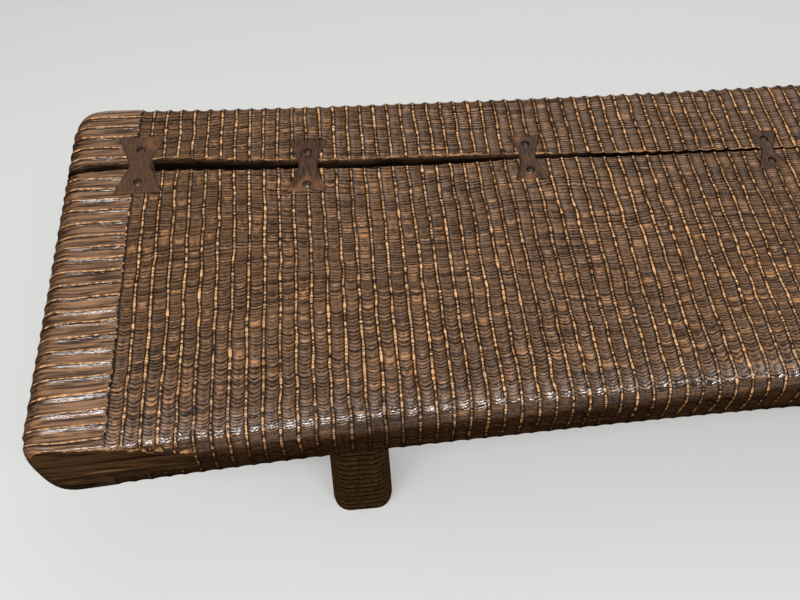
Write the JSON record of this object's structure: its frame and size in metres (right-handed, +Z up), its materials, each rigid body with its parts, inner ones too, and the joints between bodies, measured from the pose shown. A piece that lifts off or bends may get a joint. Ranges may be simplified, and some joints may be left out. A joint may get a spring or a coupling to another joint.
{
  "type": "carved teak bench",
  "caption": "Low bench of one thick teak slab gouged with close flutes, waisted in plan, its long check held by pegged butterfly keys, on ringed tenoned legs.",
  "frame": {"origin": "on the floor, under the middle of the bench", "axes": "+X along the bench towards the end without the check, -Y to the front, +Z up from the floor"},
  "size_m": [1.9, 0.4876, 0.43],
  "materials": {
    "slab_teak": "dark stained teak, gouged, glossy lacquer, worn tan on the ridges",
    "key_wood": "smooth dark hardwood, satin lacquer",
    "peg_wood": "dark end grain, satin lacquer",
    "leg_teak": "dark stained teak, ringed, satin lacquer",
    "wedge_wood": "split, unfinished"
  },
  "bodies": {
    "root": {"slab": "slab_teak", "butterfly_key_1": "key_wood", "butterfly_key_2": "key_wood", "butterfly_key_3": "key_wood", "butterfly_key_4": "key_wood", "peg_1_front": "peg_wood", "peg_1_back": "peg_wood", "peg_2_front": "peg_wood", "peg_2_back": "peg_wood", "peg_3_front": "peg_wood", "peg_3_back": "peg_wood", "peg_4_front": "peg_wood", "peg_4_back": "peg_wood", "leg_front_left": "leg_teak", "leg_back_left": "leg_teak", "leg_front_right": "leg_teak", "leg_back_right": "leg_teak", "tenon_wedge_front_left": "wedge_wood", "tenon_wedge_back_left": "wedge_wood", "tenon_wedge_front_right": "wedge_wood", "tenon_wedge_back_right": "wedge_wood"}
  },
  "joints": []
}
